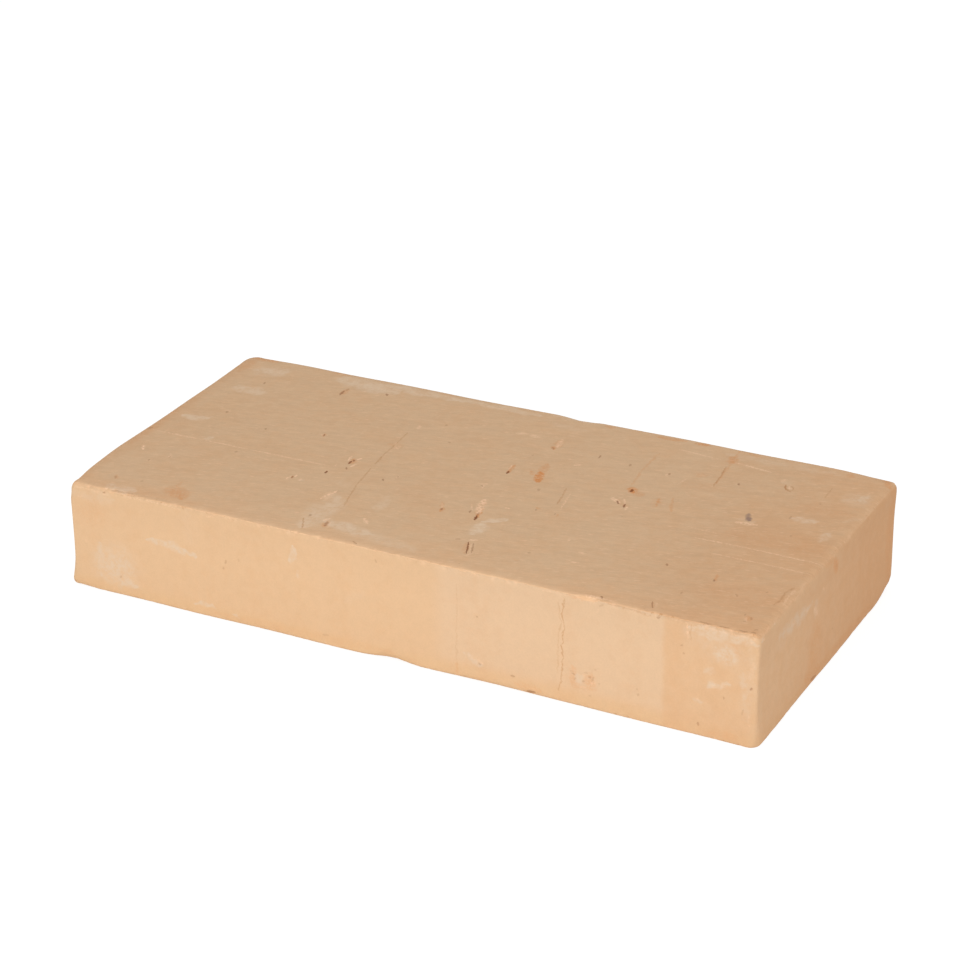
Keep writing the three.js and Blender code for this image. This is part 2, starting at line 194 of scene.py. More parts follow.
# Pale burrs, dashes and scratches.
PALE_MARKS = {
    "upper bed": [
        *line(1.5, 0.5, (-142, -15), (-118, -14.4), (-96, -14.4), (-60, -14)),
        *line(1.5, 0.55, (58, 59.4), (76, 57.6)),
        *line(1.8, 0.7, (83, 57.4), (98, 55.4)),
        *line(1.4, 0.55, (94, -9.4), (120, -9), (144, -9.6)),
        *line(1.3, 0.5, (105, -18.6), (124, -18.4), (143, -18.6)),
        *line(1, 0.4, (88, -2), (100, -3)),
        *line(1.2, 0.4, (-36, 63.6), (-18, 64.4)),
        *line(1.2, 0.6, (38.8, -8.4), (36.6, 4)),
        *line(1.4, 0.35, (142.8, -32), (142.4, -38), (143, -44)),
        *line(1, 0.5, (71, 36), (70, 30)),
        (-134.6, -31, 4.4, 2.2, 120, 1.1), (106.6, 9.6, 9, 3.4, 10, 0.75),
        (-46.6, -38, 7, 2, 78, 0.9), (-45.4, -33.6, 3.6, 1.8, 90, 0.9),
        (-46, -37, 9, 4.4, 100, 0.35), (-22.2, -50.4, 5.6, 2.4, 130, 0.75),
        (-36, -55.6, 3.6, 1.8, 60, 0.8), (-33, -59.4, 5.4, 1.4, 110, 0.35),
        (-68, -29.8, 3.4, 1.4, 80, 0.8), (-66.2, -27.6, 2.4, 1.3, 100, 0.8),
        (-63, -30, 3, 2, 88, 0.4), (-45, 33.6, 4, 2.2, 106, 0.5),
        (-43.6, 13, 4.4, 2.4, 80, 0.5),
        # Rims of the torn holes.
        (-55.2, -4.4, 4.4, 1.5, 100, 1), (-51.6, -3.4, 3.2, 1.5, 60, 1),
        (-50.8, -9.4, 3.8, 1.4, 80, 0.9), (-57, -12.4, 2.4, 1.2, 100, 0.6),
        (11, -20.4, 13.6, 4.2, 106, 1), (8, -22.4, 6, 1.1, 122, 0.5),
        (54.2, 6.8, 6.6, 2.6, 150, 1), (58, 7, 5.4, 1.5, 120, 0.85),
        (61, 1.8, 3.6, 1.4, 100, 0.85), (25.6, -57.6, 3.4, 1.4, 60, 0.75),
        (21.4, -47, 3.8, 2.2, 20, 0.75), (23.4, -53.4, 7, 0.9, 113, 0.6),
        (16, -49, 3.4, 2, 176, 0.25), (110, 45.2, 3.2, 2, 130, 0.85),
        (105.4, 50.6, 4, 2.6, 70, 0.35), (81, -68.2, 8, 2.6, 0, 0.7),
        (86.4, -68.2, 4.6, 1.8, 0, 0.5), (103.2, -64.6, 4.4, 1, 112, 0.5),
        (135.6, -60.6, 3.6, 1.4, 110, 0.5), (63, 35.4, 2.6, 1.8, 100, 0.8),
        (12.8, 44, 9, 3, 100, 0.75), (5.2, 15.4, 5, 1.2, 96, 0.7),
        (-2.6, -26.4, 4.6, 1.2, 115, 0.45), (-45.6, 15, 4.4, 1.5, 110, 0.5),
        (-43.2, 12.8, 4, 1.8, 110, 0.6),
        # Dots and dashes.
        (-5, 46, 5.4, 3.4, 20, 0.5), (1, 46, 5.4, 3.8, 0, 0.6),
        (20.6, -17.4, 2.4, 1.5, 0, 1), (3, -2.4, 3.4, 1.8, 30, 0.6),
        (-30, -11.2, 2.4, 1.3, 90, 0.5), (-75.6, 10.4, 3, 1.4, 20, 0.5),
        (-72.8, 56.2, 3, 1.4, 20, 0.5), (-126, -40.4, 2.2, 1.2, 0, 0.5),
        (-120.2, -34, 2.4, 1.2, 0, 0.6), (28, 29, 3.8, 1.9, 38, 0.65),
        (53, -31, 2.6, 1.7, 109, 0.8), (62, -39, 3, 1.5, 170, 0.5),
        (63, -47, 3.2, 1.7, 3, 0.65), (77, -29, 3.2, 1.6, 27, 0.5),
        (12.6, 67.6, 4, 1.6, 173, 0.7), (56, 64, 2.6, 2, 140, 0.35),
        (-126.6, -68.6, 1.8, 1.5, 0, 1), (-118, -66, 6, 1.6, 20, 0.35),
        (-16.6, -20.8, 2, 1.2, 90, 0.2), (-25, -21, 5, 1.2, 97, 0.2),
        (-107, -58, 3.4, 2.6, 67, 0.2), (-121, -32, 3, 1.4, 125, 0.25),
        (3.6, -4.6, 3.2, 1.8, 110, 0.6), (69, 63.6, 4, 1.4, 0, 0.25),
        (139, 54, 3.4, 2, 64, 0.25),
    ],
    "front": [
        *line(1, 0.42, (117.4, 43.6), (117.8, 38)),
        *line(0.9, 0.08, (69, 40), (69.6, 30), (68, 14)),
        # The rubbed bead along the front arris.
        *line(1.7, 0.24, (-143, 43.8), (-135, 44), (-126, 43.2)),
        *line(1.2, 0.27, (-117, 44), (-105, 44.2)),
        *line(1.2, 0.18, (-97, 44.2), (-92, 44)),
        *line(1.6, 0.24, (-83, 44), (-79, 43.8)),
        *line(1, 0.24, (58, 44.6), (74, 44.6)),
        *line(1.2, 0.34, (80, 45.3), (92, 45.5), (104, 45)),
        *line(1.6, 0.36, (-117, 44.4), (-104, 44.7), (-96, 44.8)),
        *line(1, 0.24, (111, 44.6), (122, 44.4), (130, 44), (140, 44)),
        (142.4, 43.6, 4.6, 2.8, 63, 0.3), (142, 31, 8, 2.4, 80, 0.15),
        (141.6, 11, 5, 1.2, 93, 0.18), (128, 22, 3.2, 2.8, 0, 0.18),
        (132, 23, 3.6, 2.2, 16, 0.15), (35, 9, 4.4, 2, 167, 0.24),
        (31.6, 10.2, 3.2, 2, 151, 0.21), (-131, 13, 6.4, 1.6, 96, 0.12),
        (122, 15, 2.2, 1.5, 141, 0.18), (77.5, 13.7, 1.6, 1, 0, 0.3),
        (80.9, 11.5, 1.6, 1.2, 60, 0.3), (77.3, 8.8, 2.6, 1, 10, 0.25),
        (82.1, 11.6, 1.2, 1.6, 0, 0.25), (83, 41, 2.2, 1.3, 72, 0.18),
        (-138, 40, 3, 1.2, 17, 0.18), (-137, 21, 2.4, 1.6, 140, 0.12),
        (126, 37, 3, 1.6, 0, 0.12), (-69, 4, 2.2, 1.2, 23, 0.15),
    ],
    "right": [
        *line(1.5, 0.4, (-68, 43.8), (-61, 44.2), (-55, 44)),
        (-67, 43, 3.6, 2.2, 160, 0.3), (-38, 35, 5, 2.6, 169, 0.25),
        (-15, 29, 6, 3.6, 131, 0.35), (-8, 35, 3.2, 1.6, 135, 0.25),
        (-25, 34, 4.6, 1.4, 156, 0.2), (-37, 44.2, 2.6, 1.6, 0, 0.3),
        (2, 44, 2.4, 1.4, 0, 0.3), (14, 44.2, 2.6, 1.4, 0, 0.3),
    ],
}

# Rust-coloured stains, where iron in the clay burned out and bled.
STAINS = {
    "upper bed": [
        (19.2, 12.6, 10, 4.8, 108, 1.5), (19.8, 11, 5.4, 3.2, 110, 1.3),
        (17.6, 20, 11, 4.6, 100, 0.45), (15, 14.8, 4.4, 2.6, 130, 0.5),
        (-99.6, -60.4, 15, 11, 150, 0.42), (-101.6, -60.4, 8, 3.2, 105, 0.42),
        (-99, -61.4, 8, 3.4, 120, 0.45), (-96.4, -63, 6.4, 3.4, 130, 0.6),
        (-102.6, -56, 9, 3, 100, 0.28), (80.6, 59, 8, 5, 108, 0.6),
        (82, 57.6, 9, 6.4, 0, 0.2), (12.6, 43.4, 10, 4.6, 100, 0.35),
        (12.4, 39.2, 3.6, 2.4, 110, 0.8), (56.8, 17.2, 7, 5, 125, 1),
        (60, 15.4, 6, 5, 0, 0.35), (69.8, 11.4, 8, 1.9, 102, 0.65),
        (69.4, 11.4, 10, 5, 100, 0.2), (75.2, 12.4, 13, 2, 110, 0.4),
        (75, 41.4, 7, 6, 0, 0.25), (113.8, -35.6, 6, 1.9, 105, 0.5),
        (136.4, -59.6, 5, 3, 110, 0.5), (-75.6, 10.2, 3.4, 1.8, 110, 0.5),
        (-67, -29, 3, 1.8, 100, 0.6), (-45, 14, 8, 7, 0, 0.22),
        (31, -12.4, 2.4, 1.4, 110, 0.5), (40, -14.6, 2.4, 1.4, 110, 0.5),
        (-128.8, -58.6, 4.4, 2.2, 125, 0.25), (6, 14.2, 9, 2.8, 95, 0.65),
        (11.6, -22, 14, 3.8, 106, 0.45), (13.1, -25.6, 9, 1.7, 105, 0.9),
        (-1.1, -29.2, 4.4, 2.6, 100, 0.9), (-3, -25.4, 6, 1.8, 115, 0.3),
        (-53, -6.4, 6, 3.2, 105, 0.6), (57.6, 5.4, 9, 5, 150, 0.2),
        (-34.6, -59, 6, 3.2, 103, 0.4), (22, -53.4, 11, 3.4, 108, 0.3),
        (102, -65, 6, 2.4, 110, 0.2), (43, -54.6, 3, 1.8, 0, 0.2),
        (-89.8, 51.6, 7, 3.6, 97, 0.4), (-110, -66, 44, 5, 1, 0.14),
        (-141, 60, 20, 5, 90, 0.2), (-138, 67, 14, 5, 0, 0.55),
        (-142, -10, 44, 5, 92, 0.14), (80, 32, 20, 12, 0, 0.1),
        (122, 0, 44, 24, 0, 0.16), (126, -46, 36, 26, 0, 0.14),
        (130, 32, 24, 16, 0, 0.14),
        # Along the back arris.
        (-100, 67, 10, 3.4, 176, 0.25), (-50, 67, 7, 2.4, 0, 0.25),
        (24, 66.8, 5, 3.4, 0, 0.35), (51, 67, 14, 3.4, 4, 0.5),
        (64, 67.6, 7, 4, 15, 0.75), (127, 66, 5, 3.4, 150, 0.35),
        (86, 67, 6, 2.6, 163, 0.25), (142, 65.6, 8, 4.4, 121, 0.45),
        *line(1.6, 0.4, (80, 68), (80.8, 59)),
        *line(1.4, 0.3, (80.8, 59), (82, 46), (83, 36)),
        *line(1.6, 0.28, (54.4, 22), (52.4, 36), (52, 52)),
    ],
    "front": [
        (55, 3.2, 12, 4, 176, 0.2), (136, 38, 6, 3.6, 123, 0.12),
        (132, 3, 12, 5, 5, 0.12), (80.2, 11.6, 7, 9, 0, 0.32),
        (73.4, 12.6, 4, 9, 0, 0.26), (76.6, 8.8, 8, 4, 0, 0.2),
        (76, 44.6, 10, 2, 0, 0.25), (-120, 45, 6, 1.6, 0, 0.2),
        (-134, 34, 20, 18, 0, 0.12), (-40, 3.4, 80, 5, 1, 0.08),
        (26, 4, 5, 2, 95, 0.2),
    ],
    "right": [
        (-17, 4, 18, 10, 172, 0.3), (-15, 12, 18, 30, 170, 0.24),
        (3.4, 39, 9, 6, 120, 0.5), (64, 22, 10, 50, 0, 0.2),
        (4, 3.4, 90, 5, 0, 0.16), (-3, 43.6, 10, 4, 0, 0.2),
    ],
}

# Whitish bloom of salts and dust.
BLOOMS = {
    "upper bed": [
        (-126.6, 36, 18, 9, 4, 1), (-132, 3.2, 13, 8, 10, 1),
        (-115, -12.4, 3.6, 5.4, 0, 0.9), (-62.4, -30, 4, 3.4, 0, 0.8),
        (-128, 57, 19, 14, 10, 0.95), (-84, 61.4, 34, 14, -3, 1.1),
        (-62, 64.6, 38, 8, 0, 1), (-24, 65, 40, 6.4, 0, 0.9),
        (10, 60, 18, 8, 0, 0.45), (8, 67.6, 20, 3.4, 0, 0.7),
        (100, 64, 50, 8, 0, 0.5), (-25, -58.6, 26, 9, -6, 1),
        (-12, -61, 40, 11, -10, 0.55), (-41, -51, 15, 32, 0, 0.85),
        (-46, -26, 14, 12, 0, 0.35), (-44, -38, 10, 12, 0, 0.5),
        (-24, -35, 15, 7, 100, 0.6), (19, -37.6, 12, 9, 92, 1.4),
        (21.2, -29, 10, 4, 32, 1.3), (125, 21.6, 14, 7.6, 5, 0.9),
        (137, 11.4, 7, 10, 0, 0.75), (138, 48, 8, 11, -30, 1),
        (106.6, 49, 5.4, 5, 0, 0.6), (141, 29, 9, 5, 57, 0.45),
        (136, 47, 16, 15, 0, 0.75), (6, 12, 8, 4, 98, 0.25),
        (106, 12, 9, 5, 20, 0.5), (-121, -66.4, 15, 8, 0, 1.2),
    ],
    "front": [
        (-130.6, 14, 7, 16, 0, 0.9), (-126, 17, 12, 12, 0, 0.8),
        (-123.6, 11, 9, 10, 0, 1.1), (-118.6, 6, 10, 6, 0, 1.2),
        (-124, 13, 30, 28, 0, 1), (-98, 27.2, 24, 4.6, -4, 1.1),
        (-104, 27.4, 8, 4, 0, 0.7), (-42.8, 35.6, 3.2, 7.6, 4, 1.2),
        (-40.9, 28.6, 2.2, 5, 0, 0.8), (-17, 24, 12, 6, 30, 0.35),
        (-84, 5, 10, 3.6, 0, 1.1), (-69.2, 3.8, 3.4, 2.4, 0, 1),
        (131, 42.4, 28, 6.4, 0, 1), (129, 37, 32, 18, 160, 0.45),
        (132, 35.4, 13, 12, 150, 1.2), (125.6, 27, 7, 4.4, 20, 0.7),
        (138.6, 26.5, 9, 6, 80, 0.75), (140, 20.6, 5, 4, 60, 0.7),
        (142.4, 33, 14, 4.4, 85, 0.5), (128, 22, 7, 4.4, 10, 1.1),
        (131.8, 23.4, 5.4, 4, 0, 0.9), (138.4, 26.8, 7, 7, 0, 0.8),
        (121.6, 14.6, 4.4, 4, 0, 0.9), (140.6, 20, 9, 22, 0, 0.5),
        (142.4, 36, 5, 10, 0, 0.5), (33.4, 9.4, 10, 4.6, 160, 0.9),
        (76, 12.4, 4.6, 5.4, 0, 0.9), (-89, 38, 14, 20, 0, 0.3),
        (-132, 41, 20, 7, 0, 0.5),
    ],
    "right": [
        *line(2.4, 0.8, (-68.6, 43.5), (-54, 44.4)),
        (-36, 35, 34, 8, 177, 0.8), (-47, 33, 16, 10, 0, 0.3),
        (-14.7, 30, 6, 9, 0, 0.55), (60, 40, 12, 9, 0, 0.25),
    ],
}


# ---------------------------------------------------------------- what a user would change


class BrickRelief(bpy.types.PropertyGroup):
    """Sizes of the brick's surface relief."""

    mesh_step: FloatProperty(
        name="Mesh Step", default=2.4 * MM, unit="LENGTH",
        description="Spacing of the surface mesh across the brick, away from the arrises",
    )
    long_step: FloatProperty(
        name="Long Step", default=0.65 * MM, unit="LENGTH",
        description="Spacing of the surface mesh along the brick, fine enough for the crumbs of its arrises",
    )
    arris_step: FloatProperty(
        name="Arris Step", default=0.35 * MM, unit="LENGTH",
        description="Spacing of the surface mesh at the arrises",
    )
    wave_depth: FloatProperty(
        name="Wave Depth", default=0.12 * MM, unit="LENGTH",
        description="How far the slow waves of both beds sink below the cut",
    )
    wave_length: FloatProperty(
        name="Wave Length", default=38 * MM, unit="LENGTH",
        description="From one slow wave of a bed to the next",
    )
    band_depth: FloatProperty(
        name="Band Depth", default=0.06 * MM, unit="LENGTH",
        description="How deep the upright bands are that the die draws on the walls",
    )
    band_pitch: FloatProperty(
        name="Band Pitch", default=11 * MM, unit="LENGTH",
        description="From one upright band to the next",
    )
    crumble_depth: FloatProperty(
        name="Crumble Depth", default=0.3 * MM, unit="LENGTH",
        description="How deep crumbs are missing from the arrises",
    )
    crumble_size: FloatProperty(
        name="Crumble Size", default=2.4 * MM, unit="LENGTH",
        description="Size of the missing crumbs",
    )
    arris_reach: FloatProperty(
        name="Arris Reach", default=2.4 * MM, unit="LENGTH",
        description="How far the wear of an arris reaches on to a face",
    )
    ripple_pitch: FloatProperty(
        name="Ripple Pitch", default=1.0 * MM, unit="LENGTH",
        description="From one fine ripple of the wire to the next",
    )
    ripple_run: FloatProperty(
        name="Ripple Run", default=6 * MM, unit="LENGTH",
        description="Length of one fine ripple",
    )
    cut_angle: FloatProperty(
        name="Cut Angle", default=math.radians(12), subtype="ANGLE",
        description="Direction of the ripples from the brick's length",
    )
    seed: IntProperty(name="Seed", default=7, description="Picks another run of waves, bands and crumbs")


class BrickClay(bpy.types.PropertyGroup):
    """Colours of the fired clay."""

    clay: FloatVectorProperty(
        name="Clay", default=srgb(220, 182, 143), subtype="COLOR",
        description="The straw-buff body colour",
    )
    gold: FloatVectorProperty(
        name="Gold", default=srgb(220, 180, 132), subtype="COLOR",
        description="Yellower clay at the foot of the walls and on the front left of its pale band",
    )
    warm: FloatVectorProperty(
        name="Warm Clay", default=srgb(213, 165, 122), subtype="COLOR",
        description="Orange bands and patches",
    )
    cream: FloatVectorProperty(
        name="Cream Clay", default=srgb(220, 185, 149), subtype="COLOR",
        description="Pale bands and patches",
    )
    bloom: FloatVectorProperty(
        name="Bloom", default=srgb(233, 205, 175), subtype="COLOR",
        description="Whitish salts and dust",
    )
    film: FloatVectorProperty(
        name="Film", default=srgb(219, 194, 167), subtype="COLOR",
        description="The thin dusty bloom on the walls",
    )
    stain: FloatVectorProperty(
        name="Stain", default=srgb(218, 147, 90), subtype="COLOR",
        description="Rust-coloured iron stains",
    )
    # Painted shade inside pits, pinholes and torn holes, which are only shallow dips in the bump.
    pit_shade: FloatVectorProperty(
        name="Pit Shade", default=srgb(136, 77, 38), subtype="COLOR",
        description="The dark inside of pits",
    )
    # Painted shade inside shallow furrows, slits and cracks, and in the specks of painted crumb shade along
    # the arrises.
    groove_shade: FloatVectorProperty(
        name="Groove Shade", default=srgb(186, 128, 78), subtype="COLOR",
        description="The brown inside of shallow furrows and cracks",
    )
    slag: FloatVectorProperty(
        name="Slag", default=srgb(162, 132, 114), subtype="COLOR",
        description="Grey specks of slag",
    )
    broken: FloatVectorProperty(
        name="Broken Clay", default=srgb(250, 208, 170), subtype="COLOR",
        description="Pale clay of fresh crumbs, dashes and scratches",
    )


class BrickStage(bpy.types.PropertyGroup):
    """The camera, the lamps and the room."""

    azimuth: FloatProperty(
        name="Azimuth", default=math.radians(27.6), subtype="ANGLE",
        description="Camera's bearing, from the front towards the right",
    )
    elevation: FloatProperty(
        name="Elevation", default=math.radians(25.43), subtype="ANGLE",
        description="Camera's height above the horizon",
    )
    roll: FloatProperty(
        name="Roll", default=math.radians(-0.79), subtype="ANGLE",
        description="Camera's turn about its line of sight",
    )
    distance: FloatProperty(
        name="Distance", default=1.091, unit="LENGTH",
        description="From the camera to the point that it looks at",
    )
    aim: FloatVectorProperty(
        name="Aim", default=(-0.0017, 0.008, 0.0392), subtype="TRANSLATION",
        description="The point that the camera looks at",
    )
    focal_length: FloatProperty(
        name="Focal Length", default=103.8,
        description="Focal length on a 36 mm sensor, in millimetres",
    )
    key_power: FloatProperty(
        name="Key Power", default=2.98, unit="POWER",
        description="Power of the soft box in front",
    )
    side_power: FloatProperty(
        name="Side Power", default=2.2, unit="POWER",
        description="Power of the soft box on the right",
    )
    back_power: FloatProperty(
        name="Back Power", default=0.3, unit="POWER",
        description="Power of the soft box behind on the left",
    )
    room_light: FloatProperty(
        name="Room Light", default=0.63,
        description="Strength of the light from all round",
    )


# ---------------------------------------------------------------- a bench for laying out nodes

NODE_SPACING = 190  # from one node to the next on the editor's sheet


class Bench:
    """Lays out nodes in one tree. A value is a number, a tuple or an output of another node."""

    def __init__(self, tree):
        self.tree = tree
        self.column = 0

    def feed(self, socket, value):
        if isinstance(value, bpy.types.NodeSocket):
            self.tree.links.new(value, socket)
        elif value is not None:
            socket.default_value = value

    def add(self, kind, inputs=None, label="", **settings):
        """A new node with these settings, and these values in its named or numbered inputs."""
        node = self.tree.nodes.new(kind)
        node.label = label
        node.location = (self.column * NODE_SPACING, 0)
        self.column += 1
        for name, value in settings.items():
            setattr(node, name, value)
        for socket, value in (inputs or {}).items():
            self.feed(node.inputs[socket], value)
        return node

    def math(self, operation, *values):
        return self.add("ShaderNodeMath", dict(enumerate(values)), operation=operation).outputs[0]

    def product(self, *values):
        return reduce(partial(self.math, "MULTIPLY"), values)

    def total(self, *values):
        return reduce(partial(self.math, "ADD"), values)

    def most(self, *values):
        return reduce(partial(self.math, "MAXIMUM"), values)

    def vector(self, operation, *values, scale=None):
        inputs = {**dict(enumerate(values)), 3: scale}
        node = self.add("ShaderNodeVectorMath", inputs, operation=operation)
        return node.outputs[1 if operation == "DISTANCE" else 0]

    def joined(self, *values):
        return self.add("ShaderNodeCombineXYZ", dict(enumerate(values))).outputs[0]

    def split(self, vector):
        return tuple(self.add("ShaderNodeSeparateXYZ", {0: vector}).outputs)

    def fade(self, value, start, end, low=0.0, high=1.0, label=""):
        """low where value is start, high where it is end, level at both."""
        inputs = {"Value": value, "From Min": start, "From Max": end, "To Min": low, "To Max": high}
        node = self.add("ShaderNodeMapRange", inputs, label, interpolation_type="SMOOTHSTEP")
        return node.outputs["Result"]

    def noise(self, place, size=1.0, detail=2.0, roughness=0.5, label="", colour=False):
        """Soft noise from 0 to 1, with lumps of about this size."""
        inputs = {"Vector": place, "Scale": 1 / size, "Detail": detail, "Roughness": roughness}
        return self.add("ShaderNodeTexNoise", inputs, label).outputs["Color" if colour else 0]

    def mix(self, factor, first, second):
        """A colour between two."""
        inputs = {"Factor": factor, 6: first, 7: second}
        return self.add("ShaderNodeMix", inputs, data_type="RGBA").outputs[2]

    def lerp(self, factor, first, second):
        """A number between two."""
        inputs = {"Factor": factor, 2: first, 3: second}
        return self.add("ShaderNodeMix", inputs, data_type="FLOAT").outputs[0]

    def choose(self, factor, first, second, label=""):
        """A shader between two."""
        return self.add("ShaderNodeMixShader", {0: factor, 1: first, 2: second}, label).outputs[0]


def emptied(owner):
    """The node tree of a material or a world, with nothing in it."""
    owner.use_nodes = True
    owner.node_tree.nodes.clear()
    return owner.node_tree


# ---------------------------------------------------------------- the brick's surface mesh

STEP_GROWTH = 1.25  # from one grid step to the next, going in from an arris
SPREADING_ROUNDS = 3
EVENING_ROUNDS = 4

# Sizes of the relief that the nodes take as their inputs.
RELIEF_SIZES = (
    "wave_depth", "wave_length", "band_depth", "band_pitch", "crumble_depth", "crumble_size", "arris_reach",
)


def ruled_lines(low, high, step, arris_step):
    """Grid lines from low to high, arris_step apart at both edges and step apart between them."""
    edge = [0.0]
    width = arris_step
    while width < step:
        edge.append(edge[-1] + width)
        width *= STEP_GROWTH
    inner = high - low - 2 * edge[-1]
    count = max(1, round(inner / step))
    middle = [edge[-1] + inner * i / count for i in range(1, count)]
    mirrored = [high - low - offset for offset in reversed(edge)]
    return [low + offset for offset in edge + middle + mirrored]


def box_skin(name, relief):
    """A closed box of small four-sided faces, as large as the solid, with finer faces at the arrises."""
    steps = (relief.long_step, relief.mesh_step, relief.mesh_step)
    lines = [ruled_lines(*ends, relief.arris_step) for ends in zip(LOW, HIGH, steps)]
    last = [len(line) - 1 for line in lines]
    numbers = {}
    points = []

    def corner(place):
        if place not in numbers:
            numbers[place] = len(points)
            points.append([lines[axis][place[axis]] for axis in range(3)])
        return numbers[place]

    faces = []
    for axis in range(3):
        first, second = (axis + 1) % 3, (axis + 2) % 3
        for side in (0, last[axis]):
            for i in range(last[first]):
                for j in range(last[second]):
                    loop = []
                    for along, across in ((i, j), (i + 1, j), (i + 1, j + 1), (i, j + 1)):
                        place = [0, 0, 0]
                        place[axis], place[first], place[second] = side, along, across
                        loop.append(corner(tuple(place)))
                    faces.append(loop if side else loop[::-1])
    mesh = bpy.data.meshes.new(name)
    mesh.from_pydata(points, [], faces)
    mesh.validate()
    return mesh


def titled(name):
    """A size's name as it stands on an input."""
    return name.replace("_", " ").title()


def relief_tree():
    """Geometry nodes that wrap the skin on the solid and press the relief into it."""
    tree = bpy.data.node_groups.new("brick relief", "GeometryNodeTree")
    new_socket = tree.interface.new_socket
    new_socket("Geometry", in_out="OUTPUT", socket_type="NodeSocketGeometry")
    new_socket("Geometry", in_out="INPUT", socket_type="NodeSocketGeometry")
    new_socket("Solid", in_out="INPUT", socket_type="NodeSocketObject")
    for name in RELIEF_SIZES:
        new_socket(titled(name), in_out="INPUT", socket_type="NodeSocketFloat").subtype = "DISTANCE"
    new_socket("Seed", in_out="INPUT", socket_type="NodeSocketInt")
    new_socket("Material", in_out="INPUT", socket_type="NodeSocketMaterial")

    bench = Bench(tree)
    given = bench.add("NodeGroupInput").outputs
    info = bench.add("GeometryNodeObjectInfo", {"Object": given["Solid"]}, transform_space="ORIGINAL")
    solid = info.outputs["Geometry"]
    nearest = bench.add("GeometryNodeProximity", {0: solid}, target_element="FACES").outputs["Position"]
    place = bench.add("GeometryNodeInputPosition").outputs[0]
    normal = bench.add("GeometryNodeInputNormal").outputs[0]

    def moved(shape, label, **how):
        return bench.add("GeometryNodeSetPosition", {"Geometry": shape, **how}, label).outputs[0]

    def evened(value, rounds):
        inputs = {"Value": value, "Iterations": rounds}
        return bench.add("GeometryNodeBlurAttribute", inputs, data_type="FLOAT_VECTOR").outputs[0]

    def lumps(vector, size, detail=2.0):
        return bench.noise(bench.vector("DIVIDE", vector, bench.joined(size, size, size)), 1.0, detail)

    # The points bunch up where the solid turns sharply, so they are spread out and put back on it.
    shape = moved(given["Geometry"], "Wrap on the solid", Position=nearest)
    shape = moved(shape, "Spread the points", Position=evened(place, SPREADING_ROUNDS))
    shape = moved(shape, "Wrap again", Position=nearest)

    # How much a point belongs to a bed rather than to a wall, and to each face with listed marks.
    across, along, up = bench.split(normal)
    bed = bench.fade(bench.math("ABSOLUTE", up), 0.55, 0.95, label="Bed")
    wall = bench.math("SUBTRACT", 1.0, bed)
    faces = {
        "upper bed": bench.fade(up, 0.45, 0.6),
        "front": bench.fade(along, -0.45, -0.6),
        "right": bench.fade(across, 0.45, 0.6),
    }

    # Distance from the nearest arris: the larger of the ways to a bed and to a wall.
    box = bench.add("GeometryNodeBoundBox", {0: solid}).outputs
    above = bench.split(bench.vector("SUBTRACT", place, box["Min"]))
    below = bench.split(bench.vector("SUBTRACT", box["Max"], place))
    inside = [bench.math("MINIMUM", *ways) for ways in zip(above, below)]
    from_arris = bench.most(bench.math("MINIMUM", inside[0], inside[1]), inside[2])
    from_front_arris = bench.most(above[1], below[2])
    arris = bench.fade(from_arris, given["Arris Reach"], 0.0, label="Arris")

    drift = bench.vector("ADD", place, bench.joined(given["Seed"]))
    along_wall = bench.vector("MULTIPLY", drift, (1, 1, 0))
    missing = bench.fade(lumps(drift, given["Crumble Size"], 3.0), 0.5, 0.68, label="Missing crumbs")
    missing = bench.product(missing, bench.math("POWER", arris, 0.7))
    # The front arris took the most knocks.
    knocks = bench.fade(from_front_arris, given["Arris Reach"], 0.0, 0.35, 2.0)
    inward = bench.total(
        bench.product(lumps(drift, given["Wave Length"]), bed, given["Wave Depth"]),
        bench.product(lumps(along_wall, given["Band Pitch"]), wall, given["Band Depth"]),
        bench.product(missing, given["Crumble Depth"], knocks),
    )
    offset = bench.vector("SCALE", evened(normal, EVENING_ROUNDS), scale=bench.product(inward, -1.0))
    shape = moved(shape, "Press the relief in", Offset=offset)

    for name, value in {"bed": bed, "arris": arris, "crumb": missing, **faces}.items():
        inputs = {"Geometry": shape, "Name": name, "Value": value}
        kept = bench.add("GeometryNodeStoreNamedAttribute", inputs, data_type="FLOAT", domain="POINT")
        shape = kept.outputs[0]
    shape = bench.add("GeometryNodeSetShadeSmooth", {"Geometry": shape}).outputs[0]
    shape = bench.add("GeometryNodeRealizeInstances", {"Geometry": shape}).outputs[0]
    inputs = {"Geometry": shape, "Material": given["Material"]}
    shape = bench.add("GeometryNodeSetMaterial", inputs).outputs[0]
    bench.add("NodeGroupOutput", {0: shape})
    return tree


def linked(name, data):
    """A new object of this data, in the scene."""
    thing = bpy.data.objects.new(name, data)
    bpy.context.scene.collection.objects.link(thing)
    return thing


def run_tree(name, mesh, tree, inputs):
    """The plain mesh object that a tree makes of this mesh."""
    source = linked(name + "_source", mesh)
    modifier = source.modifiers.new("Shape", "NODES")
    modifier.node_group = tree
    for item in tree.interface.items_tree:
        if item.in_out == "INPUT" and item.name in inputs:
            modifier[item.identifier] = inputs[item.name]
    graph = bpy.context.evaluated_depsgraph_get()
    made = bpy.data.meshes.new_from_object(source.evaluated_get(graph), depsgraph=graph)
    made.name = name
    bpy.data.objects.remove(source)
    bpy.data.meshes.remove(mesh)
    return linked(name, made)


# ---------------------------------------------------------------- the fired clay


